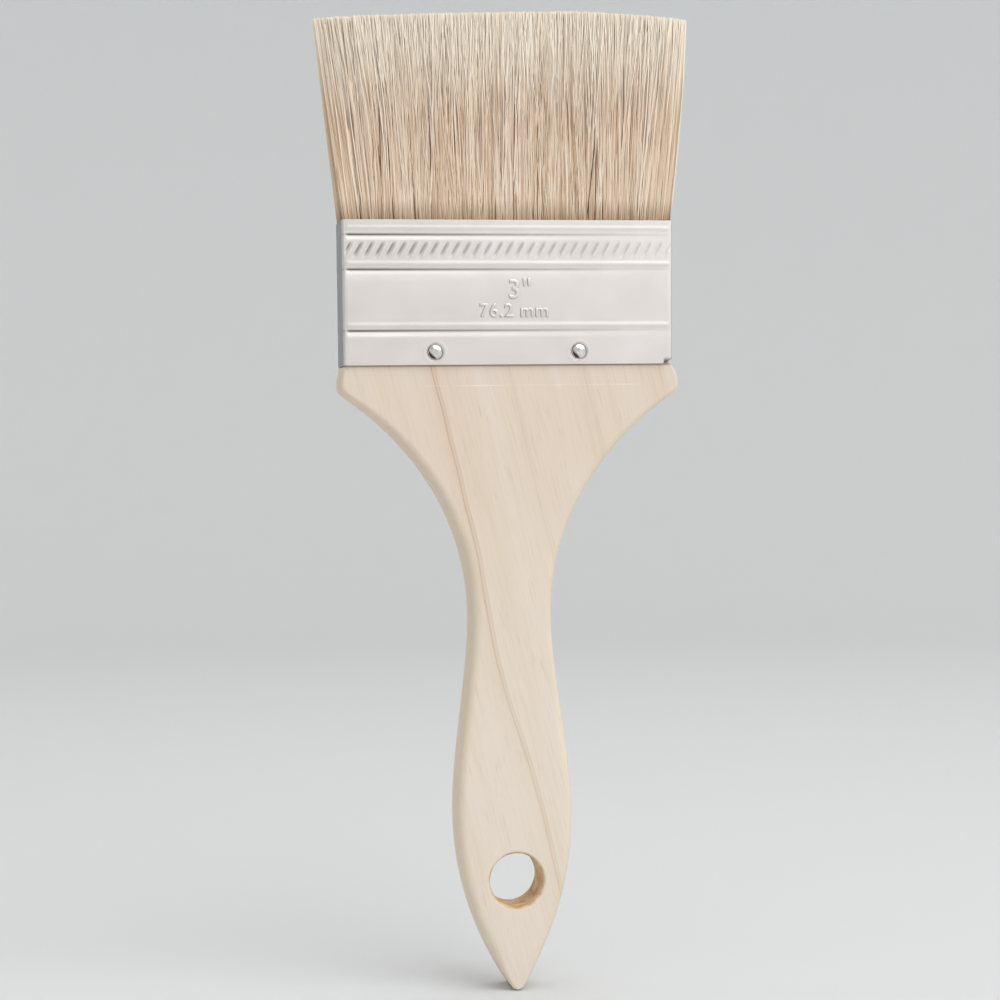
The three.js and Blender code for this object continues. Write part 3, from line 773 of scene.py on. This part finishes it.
# Washed hog bristle: mostly blond, with cream, tan and a few dark hairs; a dull horn-like gloss.
shade = add(tree, "ShaderNodeAttribute", attribute_name="hair_shade").outputs["Fac"]
length_way = add(tree, "ShaderNodeAttribute", attribute_name="hair_way").outputs["Fac"]
hair_ramp = add(tree, "ShaderNodeValToRGB", {0: shade})
hair_colour = set_stops(hair_ramp, [(0.0, "#3a2d24"), (0.01, "#6a5443"), (0.03, "#bfa586"), (0.2, "#e3cfb8"),
                                    (0.5, "#eddfcd"), (0.78, "#f4eadc"), (1.0, "#fbf5ec")])
way_ramp = add(tree, "ShaderNodeValToRGB", {0: length_way})
way_colour = set_stops(way_ramp, [(0.0, "#c4b09a"), (0.06, "#f8efe6"), (0.5, "#f6ede4"), (0.95, "#ffffff")])
toned = add(tree, "ShaderNodeMix", {0: 1.0, 6: hair_colour, 7: way_colour}, data_type="RGBA",
            blend_type="MULTIPLY").outputs[2]
flag = add(tree, "ShaderNodeMapRange", {0: length_way, 1: 0.4, 2: 1.0, 3: 0.0, 4: 0.85}).outputs[0]
flagged = add(tree, "ShaderNodeMix", {0: flag, 6: toned, 7: linear("#fdf2e2")}, data_type="RGBA",
              blend_type="MIX").outputs[2]
tree.links.new(flagged, shader.inputs["Base Color"])
shader.inputs["Roughness"].default_value = 0.55
shader.inputs["Specular IOR Level"].default_value = 0.3
shader.inputs["IOR"].default_value = 1.55

mouth = ferrule_high.z
root_depth = 1.5 * mm
hair_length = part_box("bristles_front")[1].z - mouth + root_depth

hair_tree = bpy.data.node_groups.new("hair_row", "GeometryNodeTree")
hair_tree.interface.new_socket("Geometry", in_out="OUTPUT", socket_type="NodeSocketGeometry")
for label, value in (("Hairs", 3600), ("Seed", 1)):
    hair_tree.interface.new_socket(label, in_out="INPUT", socket_type="NodeSocketInt").default_value = value
for label, value in (("Root half width", 37.5 * mm), ("Fan", 5.7 * mm), ("Root inner", 1.3 * mm),
                     ("Root outer", 5.9 * mm), ("Tip inner", 0.1 * mm), ("Tip outer", 6.1 * mm),
                     ("Bottom", 0.0), ("Length", 50 * mm), ("Dome", 1.0 * mm), ("Open ends", 0.0),
                     ("Hair radius", 0.13 * mm)):
    hair_tree.interface.new_socket(label, in_out="INPUT", socket_type="NodeSocketFloat").default_value = value
given = add(hair_tree, "NodeGroupInput").outputs

straight = add(hair_tree, "GeometryNodeCurvePrimitiveLine", {"End": (0, 0, 1)})
stepped = add(hair_tree, "GeometryNodeResampleCurve", {"Curve": straight, "Count": 9})
copies = add(hair_tree, "GeometryNodeDuplicateElements", {"Geometry": stepped, "Amount": given["Hairs"]},
             domain="SPLINE")
hair_number = copies.outputs["Duplicate Index"]
# The points along a hair are closest near the ferrule, where it bends most.
factor = add(hair_tree, "GeometryNodeSplineParameter").outputs["Factor"]
way = add(hair_tree, "ShaderNodeMath", {0: factor, 1: 1.4}, operation="POWER")
way_squared = add(hair_tree, "ShaderNodeMath", {0: way, 1: way}, operation="MULTIPLY")

# Random numbers for each hair, the same along its length. The first two say where it stands in
# its row: -1 to 1 from left to right, and 0 to 1 from the inside to the outside.
chances = {}
for number, (name, low, high) in enumerate((
        ("across", -1.015, 1.015), ("through", 0.0, 1.0), ("drift", -1.0, 1.0), ("wear", 0.0, 1.0),
        ("ragged", -0.3 * mm, 0.0), ("thickness", 0.75, 1.25), ("shade", 0.0, 1.0), ("tilt", -0.6, 0.6))):
    own_seed = add(hair_tree, "FunctionNodeIntegerMath", {0: given["Seed"], 1: number + 1}, operation="ADD")
    chances[name] = add(hair_tree, "FunctionNodeRandomValue",
                        {2: low, 3: high, "ID": hair_number, "Seed": own_seed}, data_type="FLOAT").outputs[1]
across = add(hair_tree, "ShaderNodeMath", {0: chances["across"], 1: -1.0}, operation="MAXIMUM")
across = add(hair_tree, "ShaderNodeMath", {0: across, 1: 1.0}, operation="MINIMUM")
off_middle = add(hair_tree, "ShaderNodeMath", {0: across}, operation="ABSOLUTE")
through = add(hair_tree, "ShaderNodeMath", {0: chances["through"], 1: 0.6}, operation="POWER")

# Some hairs are worn short, and each ends at its own ragged length.
worn_most = 9.0 * mm
worn_share = add(hair_tree, "ShaderNodeMath", {0: chances["wear"], 1: 9.0}, operation="POWER")
worn_short = add(hair_tree, "ShaderNodeMath", {0: worn_share, 1: worn_most}, operation="MULTIPLY")
own_length = add(hair_tree, "ShaderNodeMath", {0: given["Length"], 1: worn_short}, operation="SUBTRACT")
own_length = add(hair_tree, "ShaderNodeMath", {0: own_length, 1: chances["ragged"]}, operation="ADD")
length_share = add(hair_tree, "ShaderNodeMath", {0: own_length, 1: given["Length"]}, operation="DIVIDE")
up_brush = add(hair_tree, "ShaderNodeMath", {0: way, 1: length_share}, operation="MULTIPLY")

# Across the brush: a straight fan in which the outermost hairs lean out the most.
half_here = add(hair_tree, "ShaderNodeMath", {0: given["Fan"], 1: up_brush, 2: given["Root half width"]},
                operation="MULTIPLY_ADD")
lean_share = add(hair_tree, "ShaderNodeMath", {0: off_middle, 1: 1.6}, operation="POWER")
lean_share = add(hair_tree, "ShaderNodeMath", {0: across, 1: lean_share}, operation="MULTIPLY")
fan_here = add(hair_tree, "ShaderNodeMath", {0: given["Fan"], 1: up_brush}, operation="MULTIPLY")
leaned = add(hair_tree, "ShaderNodeMath", {0: lean_share, 1: fan_here}, operation="MULTIPLY")
fanned = add(hair_tree, "ShaderNodeMath", {0: across, 1: given["Root half width"], 2: leaned},
             operation="MULTIPLY_ADD")
# The right side is a little fuller, most of all halfway up.
above = add(hair_tree, "ShaderNodeMath", {0: 1.0, 1: up_brush}, operation="SUBTRACT")
halfway = add(hair_tree, "ShaderNodeMath", {0: up_brush, 1: above}, operation="MULTIPLY")
swell = add(hair_tree, "ShaderNodeMath", {0: halfway, 1: 2.5 * mm}, operation="MULTIPLY")
overhang = add(hair_tree, "ShaderNodeMath", {0: up_brush, 1: 0.05 * mm, 2: 0.45 * mm},
               operation="MULTIPLY_ADD")
fuller = add(hair_tree, "ShaderNodeMath", {0: swell, 1: overhang}, operation="ADD")
right_share = add(hair_tree, "ShaderNodeMath", {0: lean_share, 1: 0.0}, operation="MAXIMUM")
fanned = add(hair_tree, "ShaderNodeMath", {0: right_share, 1: fuller, 2: fanned}, operation="MULTIPLY_ADD")

# Each hair drifts to one side, hairs that stand together gather in clumps, and each one sways.
drift = add(hair_tree, "ShaderNodeMath", {0: chances["drift"]}, operation="ABSOLUTE")
drift = add(hair_tree, "ShaderNodeMath", {0: chances["drift"], 1: drift}, operation="MULTIPLY")
drift = add(hair_tree, "ShaderNodeMath", {0: drift, 1: 4.6 * mm}, operation="MULTIPLY")
clump_height = add(hair_tree, "ShaderNodeMath", {0: way, 1: 0.12}, operation="MULTIPLY")
clump_place = add(hair_tree, "ShaderNodeCombineXYZ", {0: across, 1: through, 2: clump_height})
clump_place = add(hair_tree, "ShaderNodeVectorMath", {0: clump_place, 1: (13.0, 1.3, 3.0)},
                  operation="MULTIPLY")
clump = add(hair_tree, "ShaderNodeTexNoise",
            {"Vector": clump_place, "Scale": 1.0, "Detail": 2.0, "Roughness": 0.7}).outputs["Color"]
sway_height = add(hair_tree, "ShaderNodeMath", {0: way, 1: 2.2}, operation="MULTIPLY")
sway_place = add(hair_tree, "ShaderNodeCombineXYZ", {0: hair_number, 1: sway_height})
sway = add(hair_tree, "ShaderNodeTexNoise",
           {"Vector": sway_place, "Scale": 0.73, "Detail": 0.0}).outputs["Color"]
clump_parts = add(hair_tree, "ShaderNodeSeparateXYZ", {0: clump}).outputs
sway_parts = add(hair_tree, "ShaderNodeSeparateXYZ", {0: sway}).outputs
strays = {}
for name, part, most in (("gather_x", clump_parts[0], 3.6 * mm), ("swing_x", sway_parts[0], 4.4 * mm),
                         ("gather_y", clump_parts[1], 1.2 * mm), ("swing_y", sway_parts[1], 2.2 * mm)):
    centred = add(hair_tree, "ShaderNodeMath", {0: part, 1: 0.5}, operation="SUBTRACT")
    strays[name] = add(hair_tree, "ShaderNodeMath", {0: centred, 1: most}, operation="MULTIPLY")
gathered = add(hair_tree, "ShaderNodeMath", {0: strays["gather_x"], 1: way_squared}, operation="MULTIPLY")
swung = add(hair_tree, "ShaderNodeMath", {0: drift, 1: strays["swing_x"]}, operation="ADD")
swung = add(hair_tree, "ShaderNodeMath", {0: swung, 1: way}, operation="MULTIPLY")
bend = add(hair_tree, "ShaderNodeMath", {0: swung, 1: gathered}, operation="ADD")
# The outermost hairs keep to the outline, and no hair passes it.
edge_share = add(hair_tree, "ShaderNodeMath", {0: off_middle, 1: 8.0}, operation="POWER")
bend_room = add(hair_tree, "ShaderNodeMath", {0: 1.0, 1: edge_share}, operation="SUBTRACT")
x = add(hair_tree, "ShaderNodeMath", {0: bend, 1: bend_room, 2: fanned}, operation="MULTIPLY_ADD")
left_end = add(hair_tree, "ShaderNodeMath", {0: half_here, 1: -1.0}, operation="MULTIPLY")
right_end = add(hair_tree, "ShaderNodeMath", {0: half_here, 1: fuller}, operation="ADD")
x = add(hair_tree, "ShaderNodeMath", {0: x, 1: left_end}, operation="MAXIMUM")
x = add(hair_tree, "ShaderNodeMath", {0: x, 1: right_end}, operation="MINIMUM")

# Through the brush: from beside the spacer to a closed tip. At the two ends of the spacer the inner
# hairs fill the gap, unless the row's ends are left open.
by_spacer = add(hair_tree, "ShaderNodeMapRange", {0: off_middle, 1: 0.93, 2: 0.98, 3: 1.0, 4: 0.0})
by_spacer = add(hair_tree, "ShaderNodeMath", {0: by_spacer, 1: given["Open ends"]}, operation="MAXIMUM")
root_inner = add(hair_tree, "ShaderNodeMath", {0: given["Root inner"], 1: by_spacer}, operation="MULTIPLY")
root_depth_here = add(hair_tree, "ShaderNodeMath", {0: given["Root outer"], 1: root_inner},
                      operation="SUBTRACT")
root_y = add(hair_tree, "ShaderNodeMath", {0: through, 1: root_depth_here, 2: root_inner},
             operation="MULTIPLY_ADD")
tip_depth = add(hair_tree, "ShaderNodeMath", {0: given["Tip outer"], 1: given["Tip inner"]},
                operation="SUBTRACT")
tip_y = add(hair_tree, "ShaderNodeMath", {0: through, 1: tip_depth, 2: given["Tip inner"]},
            operation="MULTIPLY_ADD")
y_change = add(hair_tree, "ShaderNodeMath", {0: tip_y, 1: root_y}, operation="SUBTRACT")
y = add(hair_tree, "ShaderNodeMath", {0: way, 1: y_change, 2: root_y}, operation="MULTIPLY_ADD")
aside = add(hair_tree, "ShaderNodeMath", {0: strays["swing_y"], 1: strays["gather_y"]}, operation="ADD")
aside = add(hair_tree, "ShaderNodeMath", {0: aside, 1: way}, operation="MULTIPLY")
y = add(hair_tree, "ShaderNodeMath", {0: y, 1: aside}, operation="ADD")
# The tuft thins to a rounded end at its two sides.
end_share = add(hair_tree, "ShaderNodeMath", {0: off_middle, 1: 6.0}, operation="POWER")
pinch = add(hair_tree, "ShaderNodeMath", {0: way, 1: -0.7}, operation="MULTIPLY")
pinch = add(hair_tree, "ShaderNodeMath", {0: end_share, 1: pinch}, operation="MULTIPLY")
pinch = add(hair_tree, "ShaderNodeMath", {0: pinch, 1: 1.0}, operation="ADD")
y = add(hair_tree, "ShaderNodeMath", {0: y, 1: pinch}, operation="MULTIPLY")

# Upwards: cut to a dome whose top is a little right of the middle.
dome_top = 0.38
along_top = add(hair_tree, "ShaderNodeMath", {0: x, 1: half_here}, operation="DIVIDE")
falls = []
for high_end, low_end, steepness in ((dome_top, along_top, 1.5), (along_top, dome_top, 1.3)):
    fall = add(hair_tree, "ShaderNodeMath", {0: high_end, 1: low_end}, operation="SUBTRACT")
    fall = add(hair_tree, "ShaderNodeMath", {0: fall, 1: 0.0}, operation="MAXIMUM")
    falls.append(add(hair_tree, "ShaderNodeMath", {0: fall, 1: steepness}, operation="MULTIPLY"))
dip = add(hair_tree, "ShaderNodeMath", {0: falls[0], 1: falls[1]}, operation="ADD")
dip = add(hair_tree, "ShaderNodeMath", {0: dip, 1: given["Dome"]}, operation="MULTIPLY")
cut_length = add(hair_tree, "ShaderNodeMath", {0: own_length, 1: dip}, operation="SUBTRACT")
z = add(hair_tree, "ShaderNodeMath", {0: way, 1: cut_length, 2: given["Bottom"]}, operation="MULTIPLY_ADD")
path = add(hair_tree, "ShaderNodeCombineXYZ", {0: x, 1: y, 2: z})
placed = add(hair_tree, "GeometryNodeSetPosition", {"Geometry": copies, "Position": path})
# Each hair turns a flat side outwards, give or take a little.
faced = add(hair_tree, "GeometryNodeSetCurveNormal", {"Curve": placed, "Normal": (0, -1, 0)}, mode="FREE")
turned = add(hair_tree, "GeometryNodeSetCurveTilt", {"Curve": faced, "Tilt": chances["tilt"]})
# Hair tapers from root to tip, and no two are quite alike. Clumps share a little of their shade.
thinned = add(hair_tree, "ShaderNodeMath", {0: way_squared, 1: 0.25}, operation="MULTIPLY")
taper = add(hair_tree, "ShaderNodeMath", {0: 1.0, 1: thinned}, operation="SUBTRACT")
thick = add(hair_tree, "ShaderNodeMath", {0: given["Hair radius"], 1: chances["thickness"]},
            operation="MULTIPLY")
thick = add(hair_tree, "ShaderNodeMath", {0: thick, 1: taper}, operation="MULTIPLY")
band = add(hair_tree, "ShaderNodeMath", {0: clump_parts[2], 1: 0.5}, operation="SUBTRACT")
band = add(hair_tree, "ShaderNodeMath", {0: band, 1: 0.3}, operation="MULTIPLY")
not_dark = add(hair_tree, "ShaderNodeMath", {0: chances["shade"], 1: 0.1}, operation="GREATER_THAN")
band = add(hair_tree, "ShaderNodeMath", {0: band, 1: not_dark}, operation="MULTIPLY")
own_shade = add(hair_tree, "ShaderNodeMath", {0: chances["shade"], 1: band}, operation="ADD")
marked = turned
for name, value in (("hair_shade", own_shade), ("hair_way", way)):
    marked = add(hair_tree, "GeometryNodeStoreNamedAttribute",
                 {"Geometry": marked, "Name": name, "Value": value}, data_type="FLOAT", domain="POINT")
section = add(hair_tree, "GeometryNodeCurvePrimitiveCircle", {"Resolution": 3, "Radius": 1.0}, mode="RADIUS")
tubes = add(hair_tree, "GeometryNodeCurveToMesh",
            {"Curve": marked, "Profile Curve": section, "Scale": thick, "Fill Caps": True})
faceted = add(hair_tree, "GeometryNodeSetShadeSmooth", {"Geometry": tubes, "Shade Smooth": False})
whole_row = add(hair_tree, "GeometryNodeRealizeInstances", {"Geometry": faceted})
finished = add(hair_tree, "GeometryNodeSetMaterial", {"Geometry": whole_row, "Material": hog_hair})
add(hair_tree, "NodeGroupOutput", {0: finished})
socket_of = {item.name: item.identifier for item in hair_tree.interface.items_tree if item.in_out == "INPUT"}

# The bend starts just inside the mouth and grows to the tip.
hair_rows = (  # name, seed, inner and outer place at root and tip in millimetres, side, CAD node
    ("bristle_row_front_outer", 11, 4.7, 5.95, 4.9, 6.2, -1, "bristles_front"),
    ("bristle_row_front_inner", 23, 1.3, 4.6, 0.1, 4.6, -1, None),
    ("bristle_row_back_inner", 37, 1.3, 4.6, 0.1, 4.6, 1, None),
    ("bristle_row_back_outer", 41, 4.7, 5.95, 4.9, 6.2, 1, "bristles_back"))
for name, seed, root_in, root_out, tip_in, tip_out, row_side, cad_node in hair_rows:
    holder = bpy.data.objects.new(name + "_maker", bpy.data.meshes.new(name + "_maker"))
    bpy.context.collection.objects.link(holder)
    maker = holder.modifiers.new("hairs", "NODES")
    maker.node_group = hair_tree
    values = {"Hairs": 3600, "Seed": seed, "Root inner": root_in * mm, "Root outer": root_out * mm,
              "Tip inner": tip_in * mm, "Tip outer": tip_out * mm, "Bottom": mouth - root_depth,
              "Length": hair_length, "Open ends": 1.0 if cad_node else 0.0}
    for label, value in values.items():
        maker[socket_of[label]] = value
    evaluated = holder.evaluated_get(bpy.context.evaluated_depsgraph_get())
    mesh = bpy.data.meshes.new_from_object(evaluated)
    mesh.name = name
    if row_side < 0:
        mesh.transform(Matrix.Scale(-1, 4, (0, 1, 0)))
        mesh.flip_normals()
    bpy.data.objects.remove(holder)
    row = bpy.data.objects.new(name, mesh)
    bpy.context.collection.objects.link(row)
    if cad_node:
        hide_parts(cad_node)
    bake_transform(row)
